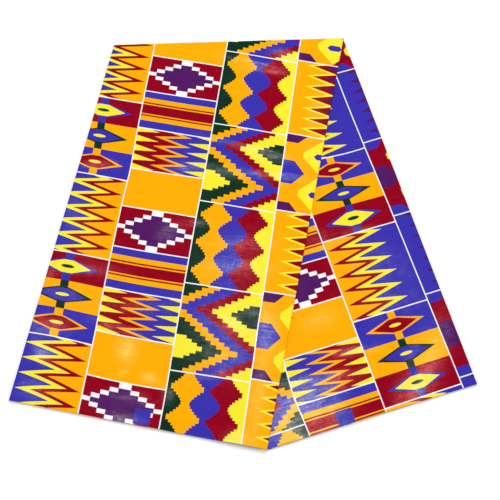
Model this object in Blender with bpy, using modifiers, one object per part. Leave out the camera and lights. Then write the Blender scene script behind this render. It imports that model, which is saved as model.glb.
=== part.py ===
"""A one metre length of wax print cloth, folded in four along its length and turned over once.

The cloth was folded in half twice along its length, which leaves a strip of four layers. The strip was
then turned over on itself at a slanting crease, so that its front half lies across its back half like
two blades of a pair of scissors. The bundle lies flat. X runs along the crease, +Y points from the cut
edges to the crease, and Z is up from the surface that the cloth rests on.

Each half shows one panel of cloth. The layers under a panel are one solid, whose cut edge is ridged
like the edges of its layers.
"""

import math

import bmesh
import bpy
from mathutils import Vector

# Outline of the two halves, measured from the middle of the crease, in metres
CREASE_LENGTH = 0.2930
FRONT_LEFT_REACH = (-0.1283, -0.4429)
FRONT_RIGHT_REACH = (-0.1428, -0.5152)
BACK_RIGHT_REACH = (0.1036, -0.4581)

# Thicknesses
WALL = 0.0010
GAP = 0.0003
HIDDEN_LAYERS = 3
HIDDEN_LAYER = 0.0006
HIDDEN_STACK = HIDDEN_LAYERS * HIDDEN_LAYER
STACK = HIDDEN_STACK + GAP + WALL
FRONT_LIFT = STACK + GAP
BUNDLE = FRONT_LIFT + STACK

# Folded sides: each panel turns down over its layers round a small radius
SIDE_RADIUS = 0.0013
SIDE_DEPTH = STACK - 0.0002
SIDE_STEPS = 3

# The crease is half a turn round the whole bundle, where the sides turn in less deeply
CREASE_RADIUS = BUNDLE / 2
CREASE_SIDE_DEPTH = 0.0016
CREASE_STEPS = 8
CREASE_CLEARANCE = 0.0012

# The front half comes down to the surface beside the back half over this width
RAMP_START = 0.012
RAMP = 0.034

# Cut edges: each hidden layer is a ridge this high
RIDGE = 0.00035

# Faces across and along each panel, and each solid of hidden layers
FRONT_FACES = (14, 42)
BACK_FACES = (14, 34)
BACK_LAYER_FACES = (6, 10)

# The largest soft folds: the two ends of each crest, how far it reaches to each side, and its height
FOLD_COLUMNS = ("x_a", "y_a", "x_b", "y_b", "reach", "height")
FRONT_FOLDS = (
    (0.003, 0.227, 0.091, 0.210, 0.011, 0.0013),
    (-0.023, 0.117, 0.078, 0.089, 0.012, 0.0015),
    (0.064, 0.074, 0.102, 0.062, 0.013, 0.0011),
    (-0.165, 0.113, -0.135, 0.088, 0.011, 0.0010),
    (-0.112, -0.006, -0.066, 0.010, 0.013, 0.0009),
    (-0.028, -0.057, 0.052, -0.044, 0.013, 0.0013),
    (-0.218, -0.026, -0.166, -0.046, 0.011, 0.0010),
    (0.046, -0.092, 0.032, -0.150, 0.013, 0.0011),
    (-0.126, -0.118, -0.141, -0.164, 0.014, 0.0009),
    (-0.240, -0.112, -0.212, -0.160, 0.012, 0.0010),
    (-0.003, -0.212, -0.018, -0.256, 0.014, 0.0011),
)
BACK_FOLDS = (
    (0.058, -0.176, 0.096, -0.208, 0.020, 0.0012),
    (0.100, -0.170, 0.140, -0.143, 0.012, 0.0009),
    (0.178, -0.205, 0.224, -0.170, 0.013, 0.0012),
    (0.060, -0.124, 0.112, -0.102, 0.013, 0.0010),
    (0.150, -0.040, 0.190, -0.098, 0.018, 0.0009),
    (0.214, -0.108, 0.228, -0.150, 0.012, 0.0008),
)
# Folds flatten out towards the crease, and where the front half presses on the back half
PRESSED_START = 0.008
PRESSED_WIDTH = 0.016

# Corners, moved so that the origin is under the middle of the bundle
CREASE_LEFT = Vector((-CREASE_LENGTH / 2, 0.0))
CREASE_RIGHT = Vector((CREASE_LENGTH / 2, 0.0))
FRONT_LEFT = CREASE_LEFT + Vector(FRONT_LEFT_REACH)
FRONT_RIGHT = CREASE_RIGHT + Vector(FRONT_RIGHT_REACH)
BACK_RIGHT = CREASE_RIGHT + Vector(BACK_RIGHT_REACH)
MIDDLE = Vector(((FRONT_LEFT.x + BACK_RIGHT.x) / 2, FRONT_RIGHT.y / 2))

PRINT_ORANGE = (0.95, 0.42, 0.01, 1.0)
PRINT_BLUE = (0.07, 0.05, 0.45, 1.0)
LAYER_CREAM = (0.72, 0.55, 0.35, 1.0)


class Half:
    """One half of the folded strip in plan: its two side edges and its cut edge."""

    def __init__(self, left_end, right_end):
        self.left_end = left_end
        self.right_end = right_end

    def length(self, across):
        """How far the cut edge is from the crease line, at a share of the width."""
        return -(self.left_end.y + (self.right_end.y - self.left_end.y) * across)

    def side(self, end, start, away):
        """X of a side edge at a distance from the crease line."""
        return start.x + (end.x - start.x) * away / (start.y - end.y)

    def left(self, away):
        return self.side(self.left_end, CREASE_LEFT, away)

    def right(self, away):
        return self.side(self.right_end, CREASE_RIGHT, away)


FRONT = Half(FRONT_LEFT, FRONT_RIGHT)
BACK = Half(FRONT_RIGHT, BACK_RIGHT)


def even_shares(count):
    """0 to 1 in equal steps."""
    return [step / count for step in range(count + 1)]


def smooth_step(value):
    """0 to 1 with soft ends."""
    value = min(max(value, 0.0), 1.0)
    return value * value * (3 - 2 * value)


def beside_back_half(x, y):
    """Distance to the left of the back half's hidden left edge, in the crease's frame."""
    edge = FRONT_RIGHT - CREASE_LEFT
    offset = Vector((x, y)) - CREASE_LEFT
    return (offset.y * edge.x - offset.x * edge.y) / -edge.length


def beside_front_half(x, y):
    """Distance to the right of the front half's right edge, in the crease's frame."""
    edge = FRONT_RIGHT - CREASE_RIGHT
    offset = Vector((x, y)) - CREASE_RIGHT
    return (offset.y * edge.x - offset.x * edge.y) / edge.length


def support(x, y):
    """Height of what the front half lies on: the back half, or the surface beside it."""
    return FRONT_LIFT * (1 - smooth_step((beside_back_half(x, y) - RAMP_START) / RAMP))


def fold_height(folds, x, y):
    """Height of the soft folds at a place, which fade at both ends of each crest."""
    place = Vector((x, y)) - MIDDLE
    height = 0.0
    for row in folds:
        fold = dict(zip(FOLD_COLUMNS, row))
        start = Vector((fold["x_a"], fold["y_a"]))
        crest = Vector((fold["x_b"], fold["y_b"])) - start
        along = (place - start).dot(crest) / crest.length_squared
        nearest = start + crest * min(max(along, 0.0), 1.0)
        distance = (place - nearest).length / fold["reach"]
        height += fold["height"] * math.exp(-distance * distance)
    return height


def front_folds(x, y):
    return fold_height(FRONT_FOLDS, x, y) * smooth_step((-y - CREASE_RADIUS) / PRESSED_WIDTH)


def back_folds(x, y):
    pressed = smooth_step((beside_front_half(x, y) - PRESSED_START) / PRESSED_WIDTH)
    return fold_height(BACK_FOLDS, x, y) * pressed


def level(x, y):
    return 0.0


def side_stations(columns, left_turned, right_turned):
    """Stations across a panel, as (share of the flat width, inset, depth) from left to right."""
    turn = [(0.0, SIDE_DEPTH)]
    for step in range(SIDE_STEPS + 1):
        angle = math.radians(90 * step / SIDE_STEPS)
        inset = SIDE_RADIUS * (1 - math.cos(angle))
        turn.append((inset, SIDE_RADIUS * (1 - math.sin(angle))))
    flat = [(column / columns, None, 0.0) for column in range(columns + 1)]
    left = [(0.0, inset, depth) for inset, depth in turn[:-1]] if left_turned else []
    right = [(1.0, inset, depth) for inset, depth in reversed(turn[:-1])] if right_turned else []
    return left + flat + right


def across_panel(left, right, station, left_turned, right_turned):
    """X of a station between two side edges."""
    share, inset, _ = station
    inner_left = left + (SIDE_RADIUS if left_turned else 0.0)
    inner_right = right - (SIDE_RADIUS if right_turned else 0.0)
    if inset is None:
        return inner_left + (inner_right - inner_left) * share
    return left + inset if share == 0.0 else right - inset


def front_place(station, row):
    """A point of the front panel's outer face. Rows up to 0 go round the crease, and later ones lie flat."""
    share, _, depth = station
    if row <= 0:
        angle = math.pi * (1 + row)
        away = CREASE_RADIUS * (1 - math.sin(angle))
        height = CREASE_RADIUS * (1 - math.cos(angle))
        inward = Vector((0.0, -math.sin(angle), math.cos(angle)))
        upper_share = smooth_step(2 * angle / math.pi - 1)
        deepest = CREASE_SIDE_DEPTH + (SIDE_DEPTH - CREASE_SIDE_DEPTH) * upper_share
        half = FRONT if angle >= math.pi / 2 else BACK
        x = across_panel(half.left(away), half.right(away), station, True, True)
        return Vector((x, -away, height)) + inward * min(depth, deepest)
    away = CREASE_RADIUS + (FRONT.length(share) - CREASE_RADIUS) * row
    x = across_panel(FRONT.left(away), FRONT.right(away), station, True, True)
    height = support(x, -away) + STACK + front_folds(x, -away)
    return Vector((x, -away, height - depth))


def back_place(station, row):
    """A point of the back panel's upper face, from just inside the crease to the cut edge."""
    share, _, depth = station
    start = CREASE_RADIUS + CREASE_CLEARANCE
    away = start + (BACK.length(share) - start) * row
    x = across_panel(BACK.left(away), BACK.right(away), station, False, True)
    return Vector((x, -away, STACK + back_folds(x, -away) - depth))


def place_grid(mesh, columns, rows, place):
    """Moves a flat grid's points to place(column, row); row 0 is the grid's far side."""
    bmesh.ops.create_grid(mesh, x_segments=len(columns) - 1, y_segments=len(rows) - 1, size=1.0)
    for point in mesh.verts:
        column = round((point.co.x + 1) / 2 * (len(columns) - 1))
        row = round((1 - point.co.y) / 2 * (len(rows) - 1))
        point.co = place(columns[column], rows[row])


def add_object(name, mesh, material):
    """Puts a mesh in the collection, moved so that the origin is under the bundle's middle."""
    bmesh.ops.translate(mesh, verts=mesh.verts, vec=(-MIDDLE.x, -MIDDLE.y, 0.0))
    data = bpy.data.meshes.new(name)
    mesh.to_mesh(data)
    mesh.free()
    data.materials.append(material)
    data.shade_smooth()
    data.set_sharp_from_angle(angle=math.radians(40))
    thing = bpy.data.objects.new(name, data)
    cloth.objects.link(thing)
    return thing


def add_panel(name, stations, rows, place, material):
    """A panel of cloth: a grid bent to its form, with a wall turned inwards from its outer face."""
    mesh = bmesh.new()
    place_grid(mesh, stations, rows, place)
    panel = add_object(name, mesh, material)
    wall = panel.modifiers.new("Wall", "SOLIDIFY")
    wall.thickness = WALL
    wall.offset = -1.0
    wall.use_even_offset = True
    return panel


def add_hidden_layers(name, half, faces, insets, under, folds, material):
    """The layers under a panel as one solid, with a ridge for each layer round its rim."""
    columns, rows = faces
    left_inset, right_inset, crease_inset = insets

    def place(share, row):
        away = crease_inset + (half.length(share) - RIDGE - crease_inset) * row
        left = half.left(away) + left_inset + RIDGE
        right = half.right(away) - right_inset - RIDGE
        x = left + (right - left) * share
        return Vector((x, -away, under(x, -away)))

    mesh = bmesh.new()
    place_grid(mesh, even_shares(columns), even_shares(rows), place)
    lower = set(mesh.verts)
    raised = bmesh.ops.extrude_face_region(mesh, geom=mesh.faces[:])["geom"]
    upper = {item for item in raised if isinstance(item, bmesh.types.BMVert)}
    for point in upper:
        point.co.z += HIDDEN_STACK + folds(point.co.x, point.co.y)
    rim = [edge for edge in mesh.edges if (edge.verts[0] in lower) != (edge.verts[1] in lower)]
    bmesh.ops.subdivide_edges(mesh, edges=rim, cuts=2 * HIDDEN_LAYERS - 1)
    bmesh.ops.recalc_face_normals(mesh, faces=mesh.faces)
    mesh.normal_update()
    ridges = []
    for point in set(mesh.verts) - lower - upper:
        base = under(point.co.x, point.co.y)
        top = HIDDEN_STACK + folds(point.co.x, point.co.y)
        half_layer = round((point.co.z - base) / top * 2 * HIDDEN_LAYERS)
        if half_layer % 2:
            ridges.append(point)
    outward = [Vector((point.normal.x, point.normal.y, 0.0)).normalized() for point in ridges]
    for point, way in zip(ridges, outward):
        point.co += way * RIDGE
    return add_object(name, mesh, material)


def cloth_material(name, colour, roughness):
    material = bpy.data.materials.new(name)
    material.use_nodes = True
    shader = material.node_tree.nodes["Principled BSDF"]
    shader.inputs["Base Color"].default_value = colour
    shader.inputs["Roughness"].default_value = roughness
    shader.inputs["Metallic"].default_value = 0.0
    return material


for leftover in list(bpy.data.objects):
    bpy.data.objects.remove(leftover, do_unlink=True)

cloth = bpy.data.collections.new("Ankara fabric")
bpy.context.scene.collection.children.link(cloth)

front_print = cloth_material("Front print", PRINT_ORANGE, 0.4)
back_print = cloth_material("Back print", PRINT_BLUE, 0.4)
layer_edges = cloth_material("Layer edges", LAYER_CREAM, 0.7)

crease_rows = [share - 1 for share in even_shares(CREASE_STEPS)]
front_columns, front_rows = FRONT_FACES
back_columns, back_rows = BACK_FACES
front_along = crease_rows + even_shares(front_rows)[1:]
back_along = even_shares(back_rows)

add_panel("front_panel", side_stations(front_columns, True, True), front_along, front_place, front_print)
add_panel("back_panel", side_stations(back_columns, False, True), back_along, back_place, back_print)

front_insets = (SIDE_RADIUS, SIDE_RADIUS, CREASE_RADIUS)
back_insets = (0.0, SIDE_RADIUS, CREASE_RADIUS + CREASE_CLEARANCE)
add_hidden_layers("front_hidden_layers", FRONT, FRONT_FACES, front_insets, support, front_folds, layer_edges)
add_hidden_layers("back_hidden_layers", BACK, BACK_LAYER_FACES, back_insets, level, level, layer_edges)
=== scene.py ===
# %% [markdown]
# # A length of wax print cloth, folded flat
#
# The object is one metre of printed cotton, 1.15 m wide. It was folded in half twice along its length,
# which makes a strip of four layers, and the strip was turned over once at a slanting crease. This lesson
# makes the cloth that shows as thin sheets, charts its woven-look print with shader maths, and lights it
# so that the calendered finish shines on the soft creases.
#
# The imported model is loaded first. Everything else is fitted to it.

# %% Load the frame
import math
from collections import namedtuple

import bmesh
import bpy
from mathutils import Matrix, Vector, noise


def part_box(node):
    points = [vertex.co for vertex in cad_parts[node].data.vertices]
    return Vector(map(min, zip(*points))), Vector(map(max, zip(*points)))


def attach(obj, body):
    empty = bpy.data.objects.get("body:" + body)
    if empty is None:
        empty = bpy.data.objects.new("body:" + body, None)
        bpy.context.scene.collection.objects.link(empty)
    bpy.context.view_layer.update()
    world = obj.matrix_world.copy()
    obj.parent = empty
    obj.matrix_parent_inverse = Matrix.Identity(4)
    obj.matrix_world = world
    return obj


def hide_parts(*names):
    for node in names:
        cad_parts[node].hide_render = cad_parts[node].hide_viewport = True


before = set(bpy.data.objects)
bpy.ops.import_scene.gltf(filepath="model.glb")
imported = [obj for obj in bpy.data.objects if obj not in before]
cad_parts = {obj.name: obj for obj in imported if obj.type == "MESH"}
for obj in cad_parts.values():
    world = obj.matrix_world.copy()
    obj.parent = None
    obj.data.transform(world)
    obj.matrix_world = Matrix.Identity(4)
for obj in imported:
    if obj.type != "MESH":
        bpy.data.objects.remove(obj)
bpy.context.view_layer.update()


def in_mm(*lengths):
    """Rounded millimetres, to print."""
    return [round(1000 * length, 1) for length in lengths]


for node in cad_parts:
    low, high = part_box(node)
    print(node, in_mm(*(b - a for a, b in zip(low, high))), "mm")

# %% [markdown]
# ## The plan of the folded strip
#
# The outline is two long quadrilaterals that share the crease. They could be drawn as curves, but each side
# of a folded strip is a straight fold, so five named corners hold the whole plan. A side is a line that can
# also mirror a place: turning cloth over at a fold is a mirror in plan, and that is how the print will find
# its way round every fold.

# %% Corners and sides
CREASE_LENGTH = 0.2930
FRONT_LEFT_REACH = (-0.1283, -0.4429)
FRONT_RIGHT_REACH = (-0.1428, -0.5152)
BACK_RIGHT_REACH = (0.1036, -0.4581)

CREASE_LEFT = Vector((-CREASE_LENGTH / 2, 0.0))
CREASE_RIGHT = Vector((CREASE_LENGTH / 2, 0.0))
FRONT_LEFT = CREASE_LEFT + Vector(FRONT_LEFT_REACH)
FRONT_RIGHT = CREASE_RIGHT + Vector(FRONT_RIGHT_REACH)
BACK_RIGHT = CREASE_RIGHT + Vector(BACK_RIGHT_REACH)
MIDDLE = Vector(((FRONT_LEFT.x + BACK_RIGHT.x) / 2, FRONT_RIGHT.y / 2))


class Side:
    """One straight edge of the strip in plan, from the crease to the cut edge."""

    def __init__(self, start, end, outward_x):
        self.start = start - MIDDLE
        self.end = end - MIDDLE
        self.along = (self.end - self.start).normalized()
        self.outward = Vector((self.along.y, -self.along.x))
        if self.outward.x * outward_x < 0:
            self.outward = -self.outward

    def x_at(self, y):
        share = (y - self.start.y) / (self.end.y - self.start.y)
        return self.start.x + (self.end.x - self.start.x) * share

    def beyond(self, x, y):
        """Distance of a place outside this side."""
        return (Vector((x, y)) - self.start).dot(self.outward)

    def mirrored(self, place):
        return place - self.outward * (2 * (place - self.start).dot(self.outward))


class Half:
    """One half of the turned strip in plan."""

    def __init__(self, left, right):
        self.left = left
        self.right = right

    def cut_y(self, across):
        """Y of the cut edge at a share of the width."""
        return self.left.end.y + (self.right.end.y - self.left.end.y) * across


FRONT = Half(Side(CREASE_LEFT, FRONT_LEFT, -1), Side(CREASE_RIGHT, FRONT_RIGHT, 1))
BACK = Half(Side(CREASE_LEFT, FRONT_RIGHT, -1), Side(CREASE_RIGHT, BACK_RIGHT, 1))
CREASE_Y = FRONT.left.start.y
print("front cut edge from", in_mm(*FRONT.left.end), "to", in_mm(*FRONT.right.end), "mm")

# %% [markdown]
# ## How the layers lie on each other
#
# The front half lies on the back half and comes down to the surface beside it on a soft ramp. Cloth that
# was simulated would settle the same way, but a formula gives the same result on every run and keeps every
# layer just clear of the next one.

# %% Heights
STACK = 0.0031
GAP = 0.0003
FRONT_LIFT = STACK + GAP
CREASE_RADIUS = (FRONT_LIFT + STACK) / 2
CREASE_CLEARANCE = 0.0012
CREASE_INNER_DEPTH = 0.0026
CREASE_EASE = 0.012
RAMP_START = 0.004
RAMP = 0.070
SHEET = 0.0004
print("thickness of one half and of both:", in_mm(STACK, FRONT_LIFT + STACK), "mm")


def smooth_step(value):
    """0 to 1 with soft ends."""
    value = min(max(value, 0.0), 1.0)
    return value * value * (3 - 2 * value)


def support(x, y):
    """Height of what the front half lies on: the back half, or the surface beside it."""
    return FRONT_LIFT * (1 - smooth_step((BACK.left.beyond(x, y) - RAMP_START) / RAMP))


# %% [markdown]
# ## Creases
#
# Cloth that was packed, unpacked and laid out keeps soft creases, uneven in length, depth and spacing. Each
# one here is a row of a table: its two ends, how far it bows to the side, how wide it is and how high. A
# negative height is a trough. Sculpting would give the same forms, but a table can be read and tuned. The
# creases fade at both ends, near the slanting crease, and where one half presses on the other.

# %% Crease tables
CREASE_COLUMNS = ("x_a", "y_a", "x_b", "y_b", "bow", "reach", "height")
FRONT_CREASES = (
    (-0.006, 0.237, 0.104, 0.206, 0.002, 0.0048, 0.0011),
    (0.060, 0.250, 0.096, 0.240, 0.000, 0.0045, 0.0008),
    (-0.028, 0.123, 0.078, 0.088, 0.003, 0.0058, 0.0015),
    (0.020, 0.079, 0.116, 0.062, -0.002, 0.0060, 0.0011),
    (-0.034, 0.093, 0.024, 0.064, 0.002, 0.0080, -0.0009),
    (-0.176, 0.118, -0.136, 0.086, 0.003, 0.0070, 0.0009),
    (-0.110, -0.008, -0.060, 0.012, -0.002, 0.0085, 0.0008),
    (-0.030, -0.022, 0.044, -0.014, 0.002, 0.0080, 0.0007),
    (-0.034, -0.056, 0.048, -0.044, 0.003, 0.0085, 0.0012),
    (-0.224, -0.024, -0.166, -0.046, 0.003, 0.0070, 0.0011),
    (0.046, -0.092, 0.026, -0.158, 0.003, 0.0075, 0.0011),
    (-0.048, -0.095, -0.024, -0.160, 0.002, 0.0090, -0.0007),
    (-0.120, -0.116, -0.138, -0.162, 0.002, 0.0090, 0.0008),
    (-0.172, -0.070, -0.100, -0.108, -0.004, 0.0100, 0.0009),
    (-0.244, -0.108, -0.210, -0.170, -0.004, 0.0085, 0.0012),
    (-0.164, -0.186, -0.110, -0.204, 0.003, 0.0075, 0.0011),
    (-0.004, -0.196, -0.020, -0.256, 0.002, 0.0090, 0.0011),
)
BACK_CREASES = (
    (0.050, -0.150, 0.126, -0.206, 0.006, 0.0240, 0.0018),
    (0.098, -0.172, 0.144, -0.140, -0.003, 0.0075, 0.0009),
    (0.168, -0.216, 0.214, -0.134, 0.004, 0.0085, 0.0012),
    (0.058, -0.138, 0.124, -0.116, -0.003, 0.0080, 0.0009),
    (0.132, -0.030, 0.190, -0.096, 0.004, 0.0120, 0.0009),
    (0.204, -0.116, 0.226, -0.152, 0.002, 0.0080, 0.0009),
    (0.040, -0.206, 0.078, -0.240, 0.002, 0.0110, 0.0009),
)
UNDER_CREASES = (
    (-0.120, 0.020, 0.030, 0.062, 0.006, 0.0060, 0.00022),
    (-0.020, -0.070, 0.090, -0.026, -0.005, 0.0070, 0.00020),
    (0.060, -0.190, 0.180, -0.120, 0.008, 0.0060, 0.00024),
    (-0.060, 0.170, 0.050, 0.140, 0.004, 0.0050, 0.00020),
    (-0.230, -0.150, -0.140, -0.120, 0.004, 0.0060, 0.00022),
    (-0.190, 0.000, -0.150, -0.080, 0.005, 0.0070, 0.00020),
)


class Crease:
    """One soft ridge or trough. It fades like a bell on both sides, and towards both ends."""

    FARTHEST = 3

    def __init__(self, row):
        values = dict(zip(CREASE_COLUMNS, row))
        self.x, self.y = values["x_a"], values["y_a"]
        run_x, run_y = values["x_b"] - self.x, values["y_b"] - self.y
        self.length = math.hypot(run_x, run_y)
        self.run_x, self.run_y = run_x / self.length, run_y / self.length
        self.bow, self.reach, self.height = values["bow"], values["reach"], values["height"]

    def at(self, x, y):
        along = ((x - self.x) * self.run_x + (y - self.y) * self.run_y) / self.length
        if not 0 < along < 1:
            return 0.0
        aside = (y - self.y) * self.run_x - (x - self.x) * self.run_y
        aside = (aside - self.bow * 4 * along * (1 - along)) / self.reach
        if abs(aside) > self.FARTHEST:
            return 0.0
        taper = 1 - (2 * along - 1) ** 4
        return self.height * taper * math.exp(-aside * aside)


front_creases = [Crease(row) for row in FRONT_CREASES]
back_creases = [Crease(row) for row in BACK_CREASES]
under_creases = [Crease(row) for row in UNDER_CREASES]
print("creases in front, behind and underneath:", len(front_creases), len(back_creases), len(under_creases))

# %% [markdown]
# ## The heights of each half
#
# A cut edge never lies quite flat: it lifts a little, here and there. Slow noise along the edge gives the
# lift, and it dies away within a few centimetres. Displacement from a texture would do the same, but a sum
# of small functions lets every layer follow the one beneath it.

# %% Heights of the two halves
PRESSED_START = 0.008
PRESSED_WIDTH = 0.016
EDGE_LIFT = 0.0007
EDGE_LIFT_REACH = 0.016
EDGE_LIFT_WAVES = 22.0
SWELL = 0.0010
SWELL_WAVES = 9.0
RIPPLE = 0.0004
RIPPLE_WAVES = 32.0
FRONT_SEED, BACK_SEED = 1.0, 2.0
FRONT_EDGE_SEED, BACK_EDGE_SEED = 5.0, 6.0


def slow_noise(x, y, waves, seed):
    """Smooth noise from -1 to 1."""
    return noise.noise(Vector((x * waves, y * waves, seed)))


def swells(x, y, seed):
    """The slow waves and small ripples that no pressed cloth is free of."""
    return SWELL * slow_noise(x, y, SWELL_WAVES, seed) + RIPPLE * slow_noise(x, y, RIPPLE_WAVES, seed + 0.5)


def edge_lift(half, x, y, seed):
    """How far the top layer stands up at its cut edge."""
    across = (x - half.left.end.x) / (half.right.end.x - half.left.end.x)
    inside = y - half.cut_y(across)
    lift = EDGE_LIFT * max(0.0, slow_noise(x, 0.0, EDGE_LIFT_WAVES, seed))
    return lift * math.exp(-max(inside, 0.0) / EDGE_LIFT_REACH)


def front_heights(x, y):
    """Lowest and highest face of the front half."""
    inside = CREASE_Y - y - CREASE_RADIUS
    bottom = support(x, y) + (STACK - CREASE_INNER_DEPTH) * (1 - smooth_step(inside / CREASE_EASE))
    bottom += sum(crease.at(x, y) for crease in under_creases) * smooth_step(inside / PRESSED_WIDTH)
    ridges = sum(crease.at(x, y) for crease in front_creases)
    ridges += swells(x, y, FRONT_SEED)
    top = support(x, y) + STACK + ridges * smooth_step(inside / PRESSED_WIDTH)
    return bottom, top + edge_lift(FRONT, x, y, FRONT_EDGE_SEED)


def back_heights(x, y):
    """Lowest and highest face of the back half."""
    pressed = smooth_step((FRONT.right.beyond(x, y) - PRESSED_START) / PRESSED_WIDTH)
    ridges = sum(crease.at(x, y) for crease in back_creases)
    ridges += swells(x, y, BACK_SEED) + edge_lift(BACK, x, y, BACK_EDGE_SEED)
    bottom = sum(crease.at(x, y) for crease in under_creases)
    return bottom, STACK + ridges * pressed


print("lowest and highest face of the front half at the middle:", in_mm(*front_heights(0.0, 0.0)), "mm")

# %% [markdown]
# ## Where the finish still shines
#
# The calendered gloss is uneven: handling has dulled most of the cloth, and what is left shines in patches
# and along the creases. It could be painted by hand as a mask. A table does the same in a few rows, one for
# each soft patch: its middle, its reach along and across its own line, how that line is turned in degrees,
# and how much gloss is left.

# %% Shine tables
# The same share of gloss also paints the warm inks brighter in the base colour: a painted highlight.
SHINE_COLUMNS = ("x", "y", "along", "aside", "turn", "gloss_and_painted_highlight")
FRONT_SHINE = (
    (0.042, 0.225, 0.036, 0.0042, -16, 0.28),
    (0.080, 0.233, 0.014, 0.0085, -12, 0.40),
    (0.056, 0.212, 0.024, 0.0030, -12, 0.36),
    (0.020, 0.107, 0.040, 0.0040, -19, 0.22),
    (0.048, 0.095, 0.020, 0.0070, -15, 0.23),
    (-0.012, 0.077, 0.022, 0.0060, -18, 0.26),
    (0.052, 0.068, 0.034, 0.0050, -9, 0.30),
    (-0.055, 0.083, 0.018, 0.0060, -6, 0.16),
    (-0.160, 0.094, 0.017, 0.0045, -3, 0.36),
    (-0.165, 0.190, 0.016, 0.0400, 0, 0.07),
    (-0.080, 0.003, 0.013, 0.0110, 25, 0.14),
    (-0.048, 0.011, 0.014, 0.0045, 0, 0.20),
    (0.006, -0.018, 0.026, 0.0080, -3, 0.18),
    (-0.002, -0.046, 0.028, 0.0085, -6, 0.27),
    (0.000, -0.040, 0.035, 0.0350, 0, 0.05),
    (-0.030, -0.125, 0.034, 0.0420, 0, 0.11),
    (-0.022, -0.152, 0.026, 0.0170, 0, 0.10),
    (-0.032, -0.172, 0.020, 0.0040, 3, 0.26),
    (-0.014, -0.115, 0.014, 0.0090, -40, 0.25),
    (0.009, -0.100, 0.009, 0.0070, 0, 0.22),
    (0.026, -0.128, 0.011, 0.0240, -4, 0.34),
    (-0.148, -0.108, 0.024, 0.0045, -22, 0.24),
    (-0.132, -0.136, 0.009, 0.0110, -8, 0.50),
    (-0.137, -0.162, 0.005, 0.0040, 0, 0.24),
    (-0.108, -0.170, 0.008, 0.0050, -30, 0.32),
    (-0.088, -0.190, 0.006, 0.0080, 0, 0.24),
    (-0.137, -0.195, 0.026, 0.0090, -8, 0.14),
    (-0.138, -0.214, 0.016, 0.0060, -12, 0.42),
    (-0.016, -0.249, 0.013, 0.0110, -8, 0.46),
    (0.010, -0.205, 0.008, 0.0450, -12, 0.18),
    (0.108, 0.140, 0.008, 0.0450, -16, 0.08),
    (-0.220, -0.103, 0.020, 0.0100, -6, 0.30),
    (-0.228, -0.136, 0.017, 0.0120, -14, 0.34),
    (-0.236, -0.174, 0.016, 0.0130, -10, 0.34),
    (-0.217, -0.040, 0.008, 0.0060, 0, 0.24),
    (-0.205, -0.066, 0.026, 0.0090, -10, 0.12),
    (-0.168, -0.040, 0.026, 0.0060, -6, 0.14),
    (-0.186, 0.020, 0.018, 0.0480, 14, 0.08),
    (-0.122, -0.086, 0.046, 0.0090, -4, 0.08),
)
BACK_SHINE = (
    (0.076, -0.203, 0.032, 0.0150, 14, 0.44),
    (0.074, -0.184, 0.042, 0.0060, 5, 0.36),
    (0.040, -0.230, 0.024, 0.0280, 0, 0.56),
    (0.078, -0.224, 0.026, 0.0120, 14, 0.42),
    (0.075, -0.245, 0.030, 0.0070, 14, 0.42),
    (0.122, -0.154, 0.022, 0.0050, 6, 0.40),
    (0.207, -0.174, 0.044, 0.0150, 62, 0.42),
    (0.184, -0.206, 0.018, 0.0110, 40, 0.36),
    (0.168, -0.052, 0.034, 0.0220, -30, 0.10),
    (0.178, -0.096, 0.030, 0.0140, 5, 0.12),
    (0.088, -0.114, 0.018, 0.0090, 10, 0.14),
    (0.149, -0.007, 0.016, 0.0040, 12, 0.20),
    (0.100, -0.018, 0.018, 0.0110, 10, 0.10),
)
DULLED = 0.01


def shine(x, y, patches):
    """Share of the gloss that is left at a place, which also sets the painted highlight on the warm inks."""
    left = DULLED
    for patch in patches:
        row = dict(zip(SHINE_COLUMNS, patch))
        turn = math.radians(row["turn"])
        away_x, away_y = x - row["x"], y - row["y"]
        along = (away_x * math.cos(turn) + away_y * math.sin(turn)) / row["along"]
        aside = (away_y * math.cos(turn) - away_x * math.sin(turn)) / row["aside"]
        left += row["gloss_and_painted_highlight"] * math.exp(-along * along - aside * aside)
    return min(left, 1.0)


print("patches of gloss in front and behind:", len(FRONT_SHINE), len(BACK_SHINE))

# %% [markdown]
# ## Where the print lies
#
# The print is measured in widths of its second column. A place on the flat cloth has two coordinates: u
# across the columns and v down them. The front half and the back half each have an origin and a turn, because
# the slanting crease turns the print over with the cloth. The places were measured on the cloth's middle
# height, so a face that lies higher or lower is first carried there along the line from the camera. An
# unwrap by hand could place the print too, but this way it also runs on exactly round every fold.

# %% Print frames and camera place
COLUMN = 0.090
CAMERA_PLACE = Vector((-0.0877, -0.3970, 1.0516))
MEASURED_HEIGHT = 0.0045
PRINT_REPEAT_DOWN = 2.30701
FRONT_PRINT_ORIGIN = Vector((-0.0983, 0.1910))
FRONT_PRINT_TURN = math.radians(-12.74)
BACK_PRINT_ORIGIN = Vector((0.1566, -0.2400))
BACK_PRINT_TURN = math.radians(193.96)
BACK_PRINT_SHIFT = 4 * PRINT_REPEAT_DOWN


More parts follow.
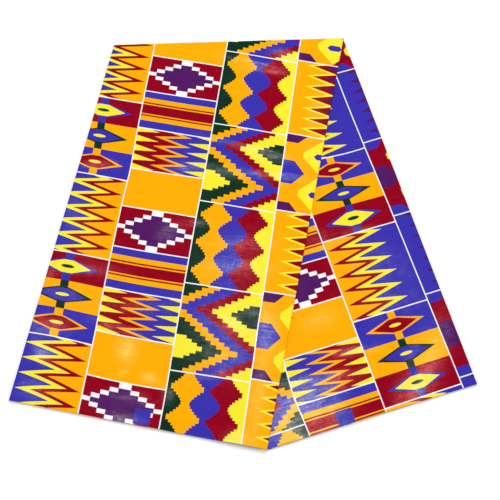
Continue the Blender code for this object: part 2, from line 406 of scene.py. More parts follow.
# Folding, pulling and creasing leave no strip quite square, so the print wanders by a few millimetres.
# Each row is one soft pull: its middle, how far it reaches and how far it shifts the print, in columns.
DRIFT_COLUMNS = ("u", "v", "reach_u", "reach_v", "shift_u", "shift_v")
FRONT_DRIFT = (
    (-0.65, 4.20, 0.72, 1.50, 0.000, -0.078),
    (-0.45, 1.25, 0.35, 0.80, 0.054, 0.000),
    (-0.35, 3.40, 0.25, 0.70, 0.030, 0.000),
    (2.20, -0.15, 0.75, 0.35, 0.000, 0.022),
    (0.95, -0.15, 0.40, 0.30, 0.000, -0.018),
    (2.55, 0.05, 0.30, 0.25, 0.035, 0.000),
    (1.20, -0.90, 1.00, 0.30, 0.000, -0.013),
    (0.30, 1.15, 0.60, 0.35, 0.012, 0.016),
    (0.50, 1.80, 0.60, 0.40, -0.008, -0.010),
    (0.50, 2.70, 0.80, 0.50, -0.006, 0.018),
    (1.80, 3.00, 0.45, 0.35, -0.008, 0.018),
    (1.40, 0.40, 0.30, 0.40, 0.015, -0.008),
    (0.80, 4.10, 0.70, 0.40, 0.006, 0.010),
    (-0.65, 1.95, 0.45, 0.60, 0.000, -0.011),
    (2.60, 0.35, 0.35, 0.60, 0.020, 0.012),
    (2.60, 3.55, 0.35, 0.50, -0.013, 0.014),
)
BACK_DRIFT = (
    (-1.20, 5.60, 0.90, 2.00, 0.000, -0.060),
    (-1.00, 3.90, 0.50, 0.90, 0.018, 0.000),
    (0.95, 0.65, 0.30, 0.45, 0.030, 0.006),
    (-0.78, 3.95, 0.30, 0.50, -0.010, -0.026),
    (1.10, 0.85, 0.40, 0.40, 0.010, 0.000),
    (-0.55, 2.82, 0.75, 0.16, 0.000, 0.024),
    (-0.55, 3.46, 0.75, 0.14, 0.000, -0.014),
)


def drifted(found, pulls):
    """The print place after every soft pull."""
    moved = found.copy()
    for pull in pulls:
        row = dict(zip(DRIFT_COLUMNS, pull))
        across = (found.x - row["u"]) / row["reach_u"]
        down = (found.y - row["v"]) / row["reach_v"]
        share = math.exp(-across * across - down * down)
        moved -= Vector((row["shift_u"], row["shift_v"])) * share
    return moved


def at_measured_height(place, height):
    """The place at the measured height that the camera sees in the same spot as this one."""
    eye = CAMERA_PLACE.xy
    reach = (CAMERA_PLACE.z - MEASURED_HEIGHT) / (CAMERA_PLACE.z - height)
    return eye + (place - eye) * reach


def print_place(place, origin, turn):
    """Columns across and down for a place on the unfolded cloth."""
    offset = (place - origin) / COLUMN
    across = offset.x * math.cos(turn) + offset.y * math.sin(turn)
    down = offset.x * math.sin(turn) - offset.y * math.cos(turn)
    return Vector((across, down))


def front_print(place, height):
    found = print_place(at_measured_height(place, height), FRONT_PRINT_ORIGIN, FRONT_PRINT_TURN)
    return drifted(found, FRONT_DRIFT)


def back_print(place, height):
    found = print_place(at_measured_height(place, height), BACK_PRINT_ORIGIN, BACK_PRINT_TURN)
    return drifted(found, BACK_DRIFT) + Vector((0.0, BACK_PRINT_SHIFT))


print("the print repeats down the cloth every", in_mm(COLUMN * PRINT_REPEAT_DOWN), "mm")

# %% [markdown]
# ## Stations round the folded strip
#
# Cut across, the strip is a flattened tube: the top layer rolls round the right fold and becomes the bottom
# layer, and at the left it rolls under and becomes the second layer. A station is one line that runs along
# the whole tube. It knows its place between the two sides, its depth below the top, and how much cloth has
# gone round the fold before it, so that the print runs on without a jump. A profile swept along a path would
# give the same shape, but it would lose the print's place.

# %% Stations
Station = namedtuple("Station", "share left_inset right_inset depth side slip mirrored")
LEFT_ROLL = 0.00075
LEFT_TUCK = 0.0045
SELVEDGE_INSET = 0.0012
RIGHT_ROLL = STACK / 2
ROLL_STEPS = 8


def roll(radius, steps):
    """Half a turn from the top round a side, as (inset, depth, slip)."""
    turns = [math.pi * step / steps for step in range(steps + 1)]
    places = [(1 - math.sin(turn), 1 - math.cos(turn), turn - math.sin(turn)) for turn in turns]
    return [(radius * inset, radius * depth, radius * slip) for inset, depth, slip in places]


def tube_stations(top_columns, bottom_columns, left_rolled):
    """Stations from the left tuck, over the top and round the right fold, to the bottom layer's left edge."""
    stations = []
    left_inset = 0.0
    under = (math.pi - 2) * LEFT_ROLL
    if left_rolled:
        left_inset = LEFT_ROLL
        stations.append(Station(0.0, LEFT_ROLL + LEFT_TUCK, 0.0, 2 * LEFT_ROLL, "left", under, True))
        for inset, depth, slip in reversed(roll(LEFT_ROLL, ROLL_STEPS)[1:]):
            stations.append(Station(0.0, inset, 0.0, depth, "left", slip, False))
    for column in range(top_columns + 1):
        stations.append(Station(column / top_columns, left_inset, RIGHT_ROLL, 0.0, None, 0.0, False))
    for inset, depth, slip in roll(RIGHT_ROLL, ROLL_STEPS)[1:]:
        stations.append(Station(1.0, 0.0, inset, depth, "right", slip, False))
    under = (math.pi - 2) * RIGHT_ROLL
    for column in reversed(range(bottom_columns)):
        share = column / bottom_columns
        stations.append(Station(share, SELVEDGE_INSET, RIGHT_ROLL, STACK, "right", under, True))
    return stations


def station_x(half, station, y):
    left = half.left.x_at(y) + station.left_inset
    right = half.right.x_at(y) - station.right_inset
    return left + (right - left) * station.share


def unfolded(half, station, place):
    """The place in plan that a station's point had before the side was folded."""
    if station.side is None:
        return place
    side = getattr(half, station.side)
    if station.mirrored:
        place = side.mirrored(place)
    return place + side.outward * station.slip


print("thickness of the left and the right roll:", in_mm(2 * LEFT_ROLL, 2 * RIGHT_ROLL), "mm")

# %% [markdown]
# ## Shaping a grid into folded cloth
#
# Blender's grid operator makes the faces. Moving its points to the stations and rows of the tube is all the
# modelling that a folded sheet needs, and it keeps the mesh even. The Solidify operator then gives the
# cloth its thickness inwards, and edges that turn sharply are marked so that cut edges stay crisp.

# %% Cloth from a grid
PRINT_MAP = "print"
SHINE_LAYER = "shine"
SHARP = math.radians(40)


def shape_grid(columns, rows, place):
    """A grid moved to place(column, row), which gives a point, its print coordinates and its shine."""
    mesh = bmesh.new()
    bmesh.ops.create_grid(mesh, x_segments=len(columns) - 1, y_segments=len(rows) - 1, size=1.0)
    shine_layer = mesh.verts.layers.float.new(SHINE_LAYER)
    printed = {}
    for point in mesh.verts:
        column = round((point.co.x + 1) / 2 * (len(columns) - 1))
        row = round((1 - point.co.y) / 2 * (len(rows) - 1))
        point.co, printed[point], point[shine_layer] = place(columns[column], rows[row])
    print_map = mesh.loops.layers.uv.new(PRINT_MAP)
    for face in mesh.faces:
        for loop in face.loops:
            loop[print_map].uv = printed[loop.vert]
    return mesh


def finish_mesh(name, mesh, materials):
    """Turns a bmesh into a piece at the origin that rides with the cloth."""
    data = bpy.data.meshes.new(name)
    mesh.to_mesh(data)
    mesh.free()
    for material in materials:
        data.materials.append(material)
    data.shade_smooth()
    data.set_sharp_from_angle(angle=SHARP)
    piece = bpy.data.objects.new(name, data)
    bpy.context.scene.collection.objects.link(piece)
    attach(piece, "root")
    print(name, len(data.polygons), "faces")
    return piece


def even_shares(count):
    """0 to 1 in equal steps."""
    return [step / count for step in range(count + 1)]


# %% [markdown]
# ## Print inks
#
# The print has seven inks. A shader could mix colours cell by cell, but it is far lighter to work out one
# number, the ink, with plain maths and to turn it into a colour only at the end. The class below wraps a
# socket so that such maths reads like Python.

# %% A wire that does maths
class Wire:
    """A value in a material's node tree."""

    def __init__(self, tree, socket):
        self.tree = tree
        self.socket = socket

    def node(self, kind, settings=None, inputs=None, output=0):
        """Adds a node: its type, its settings, then values or wires for its sockets."""
        return add_node(self.tree, kind, settings, inputs, output)

    def maths(self, operation, *values):
        inputs = dict(enumerate((self,) + values))
        return self.node("ShaderNodeMath", {"operation": operation}, inputs)

    def __add__(self, other):
        return self.maths("ADD", other)

    __radd__ = __add__

    def __sub__(self, other):
        return self.maths("SUBTRACT", other)

    def __rsub__(self, other):
        return (self * -1) + other

    def __mul__(self, other):
        return self.maths("MULTIPLY", other)

    __rmul__ = __mul__

    def __truediv__(self, other):
        return self.maths("DIVIDE", other)

    def __pow__(self, power):
        return self.maths("POWER", power)

    def __lt__(self, other):
        return self.maths("LESS_THAN", other)

    def __gt__(self, other):
        return self.maths("GREATER_THAN", other)

    def __abs__(self):
        return self.maths("ABSOLUTE")

    def least(self, other):
        return self.maths("MINIMUM", other)

    def most(self, other):
        return self.maths("MAXIMUM", other)

    def whole(self):
        return self.maths("FLOOR")

    def back_and_forth(self, scale):
        """Rises from 0 to scale and falls back again, over and over."""
        return self.maths("PINGPONG", scale)

    def wrapped(self, low, high):
        return self.maths("WRAP", high, low)


def add_node(tree, kind, settings=None, inputs=None, output=0):
    node = tree.nodes.new(kind)
    for name, value in (settings or {}).items():
        if name == "stops":
            set_stops(node.color_ramp, value)
        else:
            setattr(node, name, value)
    for name, value in (inputs or {}).items():
        if isinstance(value, Wire):
            tree.links.new(value.socket, node.inputs[name])
        else:
            node.inputs[name].default_value = value
    return Wire(tree, node.outputs[output])


def set_stops(ramp, stops):
    """Sets a colour ramp's stops, as (place, colour), with hard edges between them."""
    ramp.interpolation = "CONSTANT"
    while len(ramp.elements) < len(stops):
        ramp.elements.new(1.0)
    for element, (place, colour) in zip(ramp.elements, stops):
        element.position = place
        element.color = colour


# %% Inks
WHITE, YELLOW, ORANGE, RED, PURPLE, BLUE, GREEN = range(7)
INK_COLOURS = {
    WHITE: (0.88, 0.86, 0.88, 1.0),
    YELLOW: (0.875, 0.765, 0.028, 1.0),
    ORANGE: (0.93, 0.39, 0.001, 1.0),
    RED: (0.262, 0.0004, 0.011, 1.0),
    PURPLE: (0.078, 0.0080, 0.112, 1.0),
    BLUE: (0.039, 0.029, 0.385, 1.0),
    GREEN: (0.0040, 0.029, 0.0145, 1.0),
}
# Painted highlight: brighter copies of the warm inks, mixed into the base colour where the gloss is left.
PAINTED_HIGHLIGHT_COLOURS = INK_COLOURS | {
    YELLOW: (0.90, 0.79, 0.14, 1.0),
    ORANGE: (0.93, 0.54, 0.030, 1.0),
    RED: (0.52, 0.044, 0.062, 1.0),
}


def where(mask, inside, outside):
    """inside where the mask is 1, and outside where it is 0."""
    return mask.maths("MULTIPLY_ADD", inside - outside, outside)


def bands(value, limits, inks):
    """The ink of the band that a value falls in, from the lowest band up."""
    ink = inks[-1]
    for limit, below in reversed(list(zip(limits, inks))):
        ink = where(value < limit, below, ink)
    return ink


def steps_from(distance, first, step):
    """0 within first of the middle, then 1, 2, 3 with each further step."""
    return ((distance - first) / step).maths("CEIL").most(0.0)


def zigzag(value, start, half_period):
    """Rises from 0 at the start to 1 and falls back again, over and over."""
    return (value - start).back_and_forth(half_period) / half_period


print("inks:", len(INK_COLOURS))

# %% [markdown]
# ## The cells of the print
#
# The print imitates strip weaving: four columns of framed cells, each with its own figure. Every figure is
# drawn below from its own few measurements, in column widths from the cell's upper left corner. Diamonds,
# zigzags and stepped figures like these are common property of strip weavers, and each takes only a
# distance, a repeat and a comparison.

# %% First column: diamonds and zigzags
def rhomb(aside, above, half_width, half_height):
    """Less than 1 inside a diamond of this size."""
    return aside / half_width + above / half_height


def diamonds(x, y, width, height):
    """Three framed diamonds on a chain, each on a ground of its own."""
    middle, chain, flat_top = 0.531, 0.050, 0.088
    band_height = height / 3
    band = (y / band_height).whole()
    aside = abs(x - middle)
    above = abs(y - (band + 0.5) * band_height)
    ground = bands(band, (0.5, 1.5), (RED, ORANGE, BLUE))
    frame_ink = bands(band, (0.5, 1.5), (BLUE, GREEN, ORANGE))
    filling = bands(band, (0.5, 1.5), (YELLOW, BLUE, RED))
    eye_ink = bands(band, (0.5,), (GREEN, YELLOW))
    outer = rhomb(aside, above, half_width=0.408, half_height=0.122)
    inner = rhomb(aside, above, half_width=0.306, half_height=0.110).most(above / flat_top)
    eye = (aside / 0.082) ** 2 + (above / 0.022) ** 2
    ink = where((aside < chain).most(outer < 1.0), frame_ink, ground)
    ink = where(inner < 1.0, filling, ink)
    return where(eye < 1.0, eye_ink, ink)


def zigzags(x, y, width, height):
    """Four grounds that meet in steep parallel zigzags."""
    swing = 0.437 * zigzag(y, start=0.128, half_period=0.0972)
    return bands(x - swing, (0.226, 0.412, 0.584), (BLUE, YELLOW, RED, ORANGE))


# %% Second column: cross of blocks, stripes, triangle bands, plain
def block_diamond(x, y, width, height):
    """A purple diamond in a stair of white blocks."""
    diamond_height, stair_drop, block_height = 0.206, 0.0585, 0.055
    aside = abs(x - width / 2)
    above = abs(y - height / 2)
    stair = steps_from(aside, first=0.076, step=0.106)
    inner = diamond_height - stair_drop * stair
    outer = where(stair < 0.5, height, inner + block_height)
    return where(above < inner, PURPLE, where(above < outer, WHITE, RED))


def stripes(x, y, width, height):
    from_middle = abs(y / height - 0.488)
    return bands(from_middle, (0.118, 0.150, 0.186, 0.308), (RED, ORANGE, RED, ORANGE, BLUE))


def triangle_bands(x, y, width, height):
    """Yellow triangles at both borders, and an orange zigzag between them."""
    slant, half_period = 0.03, 0.0685
    triangle_width, triangle_height = 0.29, 0.046
    lowered = y - slant * x
    turn = zigzag(lowered, 0.0225, half_period)
    ink = bands(x + 0.356 * turn, (0.605, 0.755), (RED, ORANGE, BLUE))
    left = x + 0.463 * turn < 0.315
    from_tip = (lowered - 0.1047).back_and_forth(half_period)
    right = x - from_tip * (triangle_width / triangle_height) > 1 - triangle_width
    return where(left.most(right), YELLOW, ink)


def plain(x, y, width, height):
    return x * 0.0 + ORANGE


# %% Third column: waves and stepped chevrons
def waves(x, y, width, height):
    """Stepped bulges, five grounds wide."""
    steps, reach, roundness = 5, 0.15, 1.35
    from_waist = (y - 0.187).back_and_forth(0.194)
    row = steps_from(from_waist, first=0.035, step=0.0325).least(steps)
    swing = reach - reach * (1 - row / steps) ** roundness
    ink = where(x - swing < 0.053, GREEN, where(x + swing < 0.462, ORANGE, BLUE))
    return where(x - swing > 0.540, where(x + swing > 0.943, YELLOW, RED), ink)


# Each border of a chevron, from the outside in: where its tip is, and how high its first step is.
CHEVRON_BORDERS = ((-0.2145, 0.006), (-0.058, -0.004), (0.243, 0.038), (0.414, 0.033))


def chevron(x, above, inks):
    """One stepped chevron that points left. The inks run from outside to inside."""
    ink = inks[-1]
    for (tip, first), outer in reversed(list(zip(CHEVRON_BORDERS, inks))):
        ink = where(x < tip + 0.0748 * steps_from(above, first, step=0.0467), outer, ink)
    long_tip = (above < 0.033) * (x > 0.212) * (x < 0.3)
    ink = where(long_tip, inks[3], ink)
    heart = x - 0.0713 * steps_from(above, first=0.030, step=0.0395) > 0.663
    return where((above < 0.1485) * heart, inks[0], ink)


def chevrons(x, y, width, height):
    """A chevron that points left above, and its half turn in other inks below."""
    upper = chevron(x, abs(y - 0.318), (GREEN, ORANGE, BLUE, RED, YELLOW))
    lower = chevron(width - x, abs(y - 0.842), (YELLOW, RED, BLUE, ORANGE, GREEN))
    return where(y < height / 2, upper, lower)


# %% Fourth column: spikes and octagons
def spikes(x, y, width, height):
    """Long spikes in nested zigzags, seven to a cell."""
    orange_width = 0.150
    turn = zigzag(y, start=0.053, half_period=height / 14)
    spike = x - 0.32 * turn
    ink = bands(spike, (orange_width, 0.420, 0.530), (ORANGE, RED, PURPLE, BLUE))
    return where((spike > orange_width) * (x - 0.347 * turn < 0.241), YELLOW, ink)


def octagons(x, y, width, height):
    """Stepped yellow figures with a blue eye, between cut-off octagons at both borders."""
    corner_reach, corner_height = 0.285, 0.131
    nose_reach, centre_reach, centre_height = 0.157, 0.306, 0.172
    aside = abs(x - 0.500)
    from_row = (y - height / 4).back_and_forth(height / 4)
    from_corner = y.least(height - y)
    from_centre = abs(y - height / 2)
    ink = where(x < width / 2, ORANGE, RED)
    for border, corner_ink, centre_ink in ((x, PURPLE, BLUE), (width - x, BLUE, PURPLE)):
        corner = (border + 0.93 * from_corner < corner_reach) * (from_corner < corner_height)
        ink = where(corner, corner_ink, ink)
        centre = (border < nose_reach).most(border + 0.866 * from_centre < centre_reach)
        ink = where(centre * (from_centre < centre_height), centre_ink, ink)
    body = 0.2425 - 0.0205 * steps_from(from_row, first=0.045, step=0.020)
    eye = (aside + 0.886 * from_row < 0.104) * (from_row < 0.044)
    ink = where(aside < body, YELLOW, ink)
    return where(eye, BLUE, ink)


# %% [markdown]
# ## Setting the cells in their columns
#
# A thin white line frames every cell. The columns start at different heights, as strips sewn side by side
# do, and the whole print repeats after four columns across and after each set of cells down. Every cell
# could be a material of its own, but a single one keeps the lines between the cells clean.

# %% The print as one number
Column = namedtuple("Column", "width start cells")
LINE = 0.0155
COLUMNS = (
    Column(1.0476, 0.2060, ((diamonds, 1.1623), (zigzags, 1.1447))),
    Column(
        1.0000,
        -0.5650,
        ((block_diamond, 0.5669), (stripes, 0.5667), (triangle_bands, 0.5988), (plain, 0.5746)),
    ),
    Column(1.0185, -0.8178, ((waves, 1.1468), (chevrons, 1.1602))),
    Column(0.9850, -0.8649, ((spikes, 1.1503), (octagons, 1.1567))),
)
BLUE_SQUARES = ((0.67, 0.87, 4.33, 4.52), (0.41, 0.62, BACK_PRINT_SHIFT + 0.15, BACK_PRINT_SHIFT + 0.355))


def column_ink(column, x, v):
    """The ink inside one column."""
    y = (v - column.start).wrapped(0.0, PRINT_REPEAT_DOWN)
    ends = [sum(height for _, height in column.cells[: count + 1]) for count in range(len(column.cells))]
    ink = None
    for (draw, height), end in reversed(list(zip(column.cells, ends))):
        local = y - (end - height)
        edge = local.least(height - local)
        cell = where(edge < LINE / 2, WHITE, draw(x, local, column.width, height))
        ink = cell if ink is None else where(y < end, cell, ink)
    edge = x.least(column.width - x)
    return where(edge < LINE / 2, WHITE, ink)


def print_ink(u, v):
    """The ink at a place on the cloth."""
    left = -COLUMNS[0].width
    across = u.wrapped(left, left + sum(column.width for column in COLUMNS))
    ink = None
    for column in COLUMNS:
        x = across - left
        found = column_ink(column, x, v)
        ink = found if ink is None else where(x < 0.0, ink, found)
        left += column.width
    for low_u, high_u, low_v, high_v in BLUE_SQUARES:
        square = (u > low_u) * (u < high_u) * (v > low_v) * (v < high_v)
        ink = where(square, BLUE, ink)
    return ink


print("columns of the print:", [column.width for column in COLUMNS])

# %% [markdown]
# ## The cloth's finish
#
# Wax print cotton is a plain weave, calendered to a gloss that handling breaks up. The colour comes from the
# inks and the weave from two sine waves that cross. The gloss is a clear coat over a duller base. It is as
# strong as the shine that each point of the mesh carries, broken up by three noises so that no crease shines
# like plastic. Where that gloss is left, the warm inks are also painted brighter in the base colour, a
# painted highlight drawn from a second set of colours.

# %% Wax print material
INK_SPACING = 1 / 8
CLOUD_SCALE, FINE_SCALE, BILLOW_SCALE = 130.0, 480.0, 34.0
CRINKLES_ACROSS, CRINKLES_DOWN = 5.0, 34.0
THREAD = 0.0055
THREAD_RELIEF, CRINKLE_RELIEF, BILLOW_RELIEF = 0.00002, 0.00012, 0.0008
MOTTLE = 0.20
ROUGHNESS, ROUGHNESS_SPREAD = 0.62, 0.16
COAT_ROUGHNESS = 0.25
COAT_IOR = 1.85
# Painted highlight: how far the gloss mixes the warm inks towards their brighter copies.
PAINTED_HIGHLIGHT_GAIN = 1.6
WARM_GLOSS = 0.35
BARE_THREAD = (0.86, 0.83, 0.78, 1.0)


def paint(ink, colours):
    """The colour of an ink number."""
    stops = [(number * INK_SPACING, colour) for number, colour in colours.items()]
    return ink.node("ShaderNodeValToRGB", {"stops": stops}, {0: (ink + 0.5) * INK_SPACING})


def mixed(share, first, second):
    """From the first colour to the second."""
    return first.node("ShaderNodeMix", {"data_type": "RGBA"}, {0: share, 6: first, 7: second}, 2)


def noise_at(place, scale, detail=3.0):
    return place.node("ShaderNodeTexNoise", None, {"Vector": place, "Scale": scale, "Detail": detail})


def broken(noise_value):
    """Fine noise with more contrast, to break up the gloss."""
    return noise_value * 2.4 - 0.2


def cloth_material(name, paleness):
    """Printed cotton. paleness is the share of bare thread that shows, as at a cut edge."""
    material = bpy.data.materials.new(name)
    material.use_nodes = True
    tree = material.node_tree
    shader = tree.nodes["Principled BSDF"]
    place = add_node(tree, "ShaderNodeUVMap", {"uv_map": PRINT_MAP})
    u, v = [place.node("ShaderNodeSeparateXYZ", None, {0: place}, output) for output in (0, 1)]
    spot = add_node(tree, "ShaderNodeTexCoord", None, None, "Object")
    cloud = noise_at(spot, CLOUD_SCALE)
    fine = noise_at(spot, FINE_SCALE)
    stretched = u.node("ShaderNodeCombineXYZ", None, {0: u * CRINKLES_ACROSS, 1: v * CRINKLES_DOWN})
    crinkle = noise_at(stretched, scale=1.0, detail=2.0)
    left = add_node(tree, "ShaderNodeAttribute", {"attribute_name": SHINE_LAYER}, None, "Fac")
    # The gloss left here feeds the clear coat and also the painted highlight in the base colour.
    gloss_and_painted_highlight = left * (crinkle * 3.0 - 0.35) * broken(cloud) * broken(fine)

    ink = print_ink(u, v)
    # Painted highlight: the warm inks are mixed towards brighter copies where the gloss is left.
    colour = mixed(gloss_and_painted_highlight * PAINTED_HIGHLIGHT_GAIN, paint(ink, INK_COLOURS), paint(ink, PAINTED_HIGHLIGHT_COLOURS))
    shade = (1 + MOTTLE / 2) - MOTTLE * fine
    colour = colour.node("ShaderNodeVectorMath", {"operation": "SCALE"}, {0: colour, "Scale": shade})
    colour = mixed(paleness, colour, BARE_THREAD)
    tree.links.new(colour.socket, shader.inputs["Base Color"])

    thread = 2 * math.pi / THREAD
    weave = (u * thread).maths("SINE") * (v * thread).maths("SINE")
    billow = noise_at(spot, BILLOW_SCALE)
    relief = weave * THREAD_RELIEF + billow * BILLOW_RELIEF + crinkle * CRINKLE_RELIEF
    bump = relief.node("ShaderNodeBump", None, {"Strength": 0.6, "Distance": 1.0, "Height": relief})
    tree.links.new(bump.socket, shader.inputs["Normal"])
    tree.links.new((ROUGHNESS + ROUGHNESS_SPREAD * cloud).socket, shader.inputs["Roughness"])
    warm = (ink > YELLOW - 0.5) * (ink < RED + 0.5)
    tree.links.new((gloss_and_painted_highlight * where(warm, WARM_GLOSS, 1.0)).socket, shader.inputs["Coat Weight"])
    shader.inputs["Coat Roughness"].default_value = COAT_ROUGHNESS
    shader.inputs["Coat IOR"].default_value = COAT_IOR
    shader.inputs["Specular IOR Level"].default_value = 0.0
    return material


wax_print = cloth_material("wax print", paleness=0.0)
cut_thread = cloth_material("cut thread", paleness=0.45)
print(len(wax_print.node_tree.nodes), "nodes in the print")

# %% [markdown]
# ## The front half
#
# One grid makes everything that shows of the front half: the tuck at the left, the top layer, the roll round
# the right fold, the bottom layer, and the roll round the crease, where the whole flattened tube turns over.
# Separate pieces would be simpler, but real cloth has no seam at a fold, and one piece shows none either.

# %% Front cloth
FRONT_COLUMNS = (118, 40)
FRONT_ROWS = 194
CREASE_STEPS = 20


def front_place(station, row):
    """A point of the front half and its print place. Rows up to 0 go round the crease."""
    share = station.share
    if row <= 0:
        angle = math.pi * -row
        y = CREASE_Y - CREASE_RADIUS * (1 - math.sin(angle))
        half = FRONT if angle <= math.pi / 2 else BACK
        deep = station.depth * CREASE_INNER_DEPTH / STACK
        x = station_x(half, station, y)
        centre_y = CREASE_Y - CREASE_RADIUS
        radius = CREASE_RADIUS - deep
        point = Vector((x, centre_y + radius * math.sin(angle), CREASE_RADIUS + radius * math.cos(angle)))
        gone_round = CREASE_RADIUS * (angle - math.sin(angle))
        flat = unfolded(FRONT, station, Vector((x, y))) + Vector((0.0, gone_round))
        return point, front_print(flat, 2 * CREASE_RADIUS), DULLED
    start = CREASE_Y - CREASE_RADIUS
    y = start + (FRONT.cut_y(share) - start) * row
    x = station_x(FRONT, station, y)
    bottom, top = front_heights(x, y)
    point = Vector((x, y, top + (bottom - top) * station.depth / STACK))
    flat = unfolded(FRONT, station, Vector((x, y)))
    gloss_and_painted_highlight = DULLED if station.mirrored else shine(x, y, FRONT_SHINE)
    return point, front_print(flat, support(x, y) + STACK), gloss_and_painted_highlight


def thicken(mesh):
    """Gives a sheet its thickness, inwards, and marks the faces of its cut edges."""
    faces = len(mesh.faces)
    mesh.normal_update()
    bmesh.ops.solidify(mesh, geom=mesh.faces[:], thickness=SHEET)
    mesh.faces.ensure_lookup_table()
    for face in mesh.faces[2 * faces :]:
        face.material_index = 1
    return mesh


front_rows = [-share for share in reversed(even_shares(CREASE_STEPS))] + even_shares(FRONT_ROWS)[1:]
front_stations = tube_stations(*FRONT_COLUMNS, left_rolled=True)
front_mesh = thicken(shape_grid(front_stations, front_rows, front_place))
front_cloth = finish_mesh("front_cloth", front_mesh, (wax_print, cut_thread))
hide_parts("front_panel")

# %% [markdown]
# ## The back half
#
# The back half is the same tube the other way up. Its left part lies hidden under the front half. It could
# join the front half inside the crease, but a short gap there can't be seen, and it keeps the two apart.

# %% Back cloth
BACK_COLUMNS = (112, 24)
BACK_ROWS = 176


def back_place(station, row):
    """A point of the back half and its print place."""
    start = CREASE_Y - CREASE_RADIUS - CREASE_CLEARANCE
    y = start + (BACK.cut_y(station.share) - start) * row
    x = station_x(BACK, station, y)
    bottom, top = back_heights(x, y)
    point = Vector((x, y, top + (bottom - top) * station.depth / STACK))
    gloss_and_painted_highlight = DULLED if station.mirrored else shine(x, y, BACK_SHINE)
    return point, back_print(unfolded(BACK, station, Vector((x, y))), STACK), gloss_and_painted_highlight


back_stations = tube_stations(*BACK_COLUMNS, left_rolled=False)
back_mesh = thicken(shape_grid(back_stations, even_shares(BACK_ROWS), back_place))
back_cloth = finish_mesh("back_cloth", back_mesh, (wax_print, cut_thread))
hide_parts("back_panel")

# %% [markdown]
# ## The layers inside
#
# Two more layers lie inside each tube. Only their edges ever show, so one solid stands for them in each
# half: a grid, pulled up step by step, with each layer's rim pushed out and the gap between layers drawn in.
# The rims wander a little, because no two layers of hand-folded cloth end at the same line.

# %% Inner layers
RimStep = namedtuple("RimStep", "height left right cut")
RIM = (
    RimStep(0.00065, 0.0022, 0.0024, 0.0018),
    RimStep(0.00072, 0.0019, 0.0021, 0.0015),
    RimStep(0.00100, 0.0019, 0.0021, 0.0015),
    RimStep(0.00107, 0.0022, 0.0024, 0.0018),
    RimStep(0.00110, 0.0080, 0.0040, 0.0050),
    RimStep(0.00124, 0.0080, 0.0040, 0.0050),
    RimStep(0.00127, 0.0064, 0.0026, 0.0013),
    RimStep(0.00134, 0.0061, 0.0023, 0.0010),
    RimStep(0.00162, 0.0061, 0.0023, 0.0010),
    RimStep(0.00169, 0.0064, 0.0026, 0.0013),
)
INNER_START = 0.016
INNER_FACES = (36, 60)
INNER_WANDER = 0.0006
INNER_WAVES = 9.0
LOWER_SEED, UPPER_SEED = 7.0, 8.0
LAYER_SPLIT = 0.00117


def inner_layers(name, half, base, on_print):
    """The solid of the two inner layers. base(x, y) is the height that the tube lies on."""
    mesh = bmesh.new()
    columns, rows = INNER_FACES
    bmesh.ops.create_grid(mesh, x_segments=columns, y_segments=rows, size=1.0)
    across = mesh.verts.layers.float.new("across")
    along = mesh.verts.layers.float.new("along")
    for point in mesh.verts:
        point[across] = (point.co.x + 1) / 2
        point[along] = (1 - point.co.y) / 2
    bmesh.ops.reverse_faces(mesh, faces=mesh.faces[:])

    def settle(points, step):
        for point in points:
            share, row = point[across], point[along]
            seed = LOWER_SEED if step.height < LAYER_SPLIT else UPPER_SEED
            wander = INNER_WANDER * slow_noise(share, row, INNER_WAVES, seed)
            start = CREASE_Y - INNER_START
            y = start + (half.cut_y(share) + step.cut + wander - start) * row
            left = half.left.x_at(y) + step.left + wander
            right = half.right.x_at(y) - step.right + wander
            x = left + (right - left) * share
            point.co = Vector((x, y, base(x, y) + step.height))

    settle(mesh.verts, RIM[0])
    region = mesh.verts[:] + mesh.edges[:] + mesh.faces[:]
    for step in RIM[1:]:
        region = bmesh.ops.extrude_face_region(mesh, geom=region)["geom"]
        settle([item for item in region if isinstance(item, bmesh.types.BMVert)], step)
    bmesh.ops.recalc_face_normals(mesh, faces=mesh.faces)
    print_map = mesh.loops.layers.uv.new(PRINT_MAP)
    for face in mesh.faces:
        centre = face.calc_center_median()
        lower = centre.z - base(centre.x, centre.y) < LAYER_SPLIT
        for loop in face.loops:
            place = half.left.mirrored(loop.vert.co.xy)
            if lower:
                place = half.left.mirrored(half.right.mirrored(loop.vert.co.xy))
            loop[print_map].uv = on_print(place, MEASURED_HEIGHT)
    return finish_mesh(name, mesh, (cut_thread,))


def level(x, y):
    return 0.0


front_inner = inner_layers("front_inner_layers", FRONT, support, front_print)
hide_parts("front_hidden_layers")
back_inner = inner_layers("back_inner_layers", BACK, level, back_print)
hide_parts("back_hidden_layers")

# %% [markdown]

# %% [markdown]
# ## Floor, light and camera
#
# The cloth lies on a plain pale floor. Soft boxes from both sides and from the near side give an even light
# that the flat cloth does not mirror towards the camera. The wide one high up behind is the light that the
# whole cloth mirrors, so the gloss shows as a soft haze wherever it is left.

# %% Floor
FLOOR_SIZE = 40.0
FLOOR_DROP = 0.0003
FLOOR_COLOUR = (0.97, 0.97, 0.97, 1.0)
floor_mesh = bmesh.new()
bmesh.ops.create_grid(floor_mesh, x_segments=1, y_segments=1, size=FLOOR_SIZE / 2)
bmesh.ops.translate(floor_mesh, verts=floor_mesh.verts, vec=(0.0, 0.0, -FLOOR_DROP))
floor_data = bpy.data.meshes.new("floor")
floor_mesh.to_mesh(floor_data)
floor_mesh.free()
floor = bpy.data.objects.new("floor", floor_data)
bpy.context.scene.collection.objects.link(floor)
floor_material = bpy.data.materials.new("pale floor")
floor_material.use_nodes = True
floor_shader = floor_material.node_tree.nodes["Principled BSDF"]
floor_shader.inputs["Base Color"].default_value = FLOOR_COLOUR
floor_shader.inputs["Roughness"].default_value = 0.9
floor_shader.inputs["Specular IOR Level"].default_value = 0.0
floor_data.materials.append(floor_material)
print("floor", FLOOR_SIZE, "m wide")

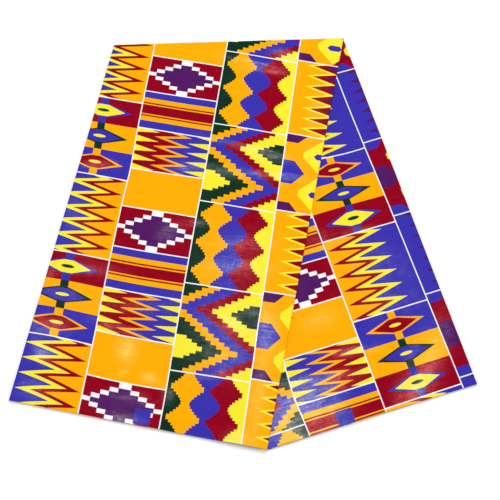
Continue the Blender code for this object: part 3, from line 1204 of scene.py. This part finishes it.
# %% Light
SoftBox = namedtuple("SoftBox", "name azimuth tilt distance size power")
SOFT_BOXES = (
    SoftBox("left box", 180.0, 55.0, 2.2, 1.6, 4.0),
    SoftBox("right box", 0.0, 55.0, 2.2, 1.6, 3.5),
    SoftBox("near box", 270.0, 48.0, 2.4, 1.8, 9.0),
    SoftBox("wide box", 77.0, 20.0, 2.2, 1.4, 27.0),
)
SKY_STRENGTH = 0.5
for box in SOFT_BOXES:
    tilt, azimuth = math.radians(box.tilt), math.radians(box.azimuth)
    way = Vector((math.sin(tilt) * math.cos(azimuth), math.sin(tilt) * math.sin(azimuth), math.cos(tilt)))
    lamp = bpy.data.lights.new(box.name, "AREA")
    lamp.shape = "SQUARE"
    lamp.size = box.size
    lamp.energy = box.power
    holder = bpy.data.objects.new(box.name, lamp)
    facing = way.to_track_quat("Z", "Y").to_matrix().to_4x4()
    holder.matrix_world = Matrix.Translation(way * box.distance) @ facing
    bpy.context.scene.collection.objects.link(holder)
    print(box.name, box.power, "W")

world = bpy.data.worlds.new("studio")
world.use_nodes = True
sky = world.node_tree.nodes["Background"]
sky.inputs["Color"].default_value = (1.0, 1.0, 1.0, 1.0)
sky.inputs["Strength"].default_value = SKY_STRENGTH
bpy.context.scene.world = world
bpy.context.scene.view_settings.view_transform = "Standard"

# %% Camera
CAMERA_TURNS = ((-0.27076, "Z"), (0.35279, "X"), (0.20501, "Z"))
FOCAL_IMAGES = 949.398 / 500.0
SENSOR = 36.0
camera_data = bpy.data.cameras.new("camera")
camera_data.sensor_width = SENSOR
camera_data.lens = FOCAL_IMAGES * SENSOR
camera = bpy.data.objects.new("camera", camera_data)
turn = Matrix.Identity(4)
for angle, axis in CAMERA_TURNS:
    turn = turn @ Matrix.Rotation(angle, 4, axis)
camera.matrix_world = Matrix.Translation(CAMERA_PLACE) @ turn
bpy.context.scene.collection.objects.link(camera)
bpy.context.scene.camera = camera
print("camera", round(CAMERA_PLACE.z, 2), "m up, focal length", round(camera_data.lens, 1), "mm")
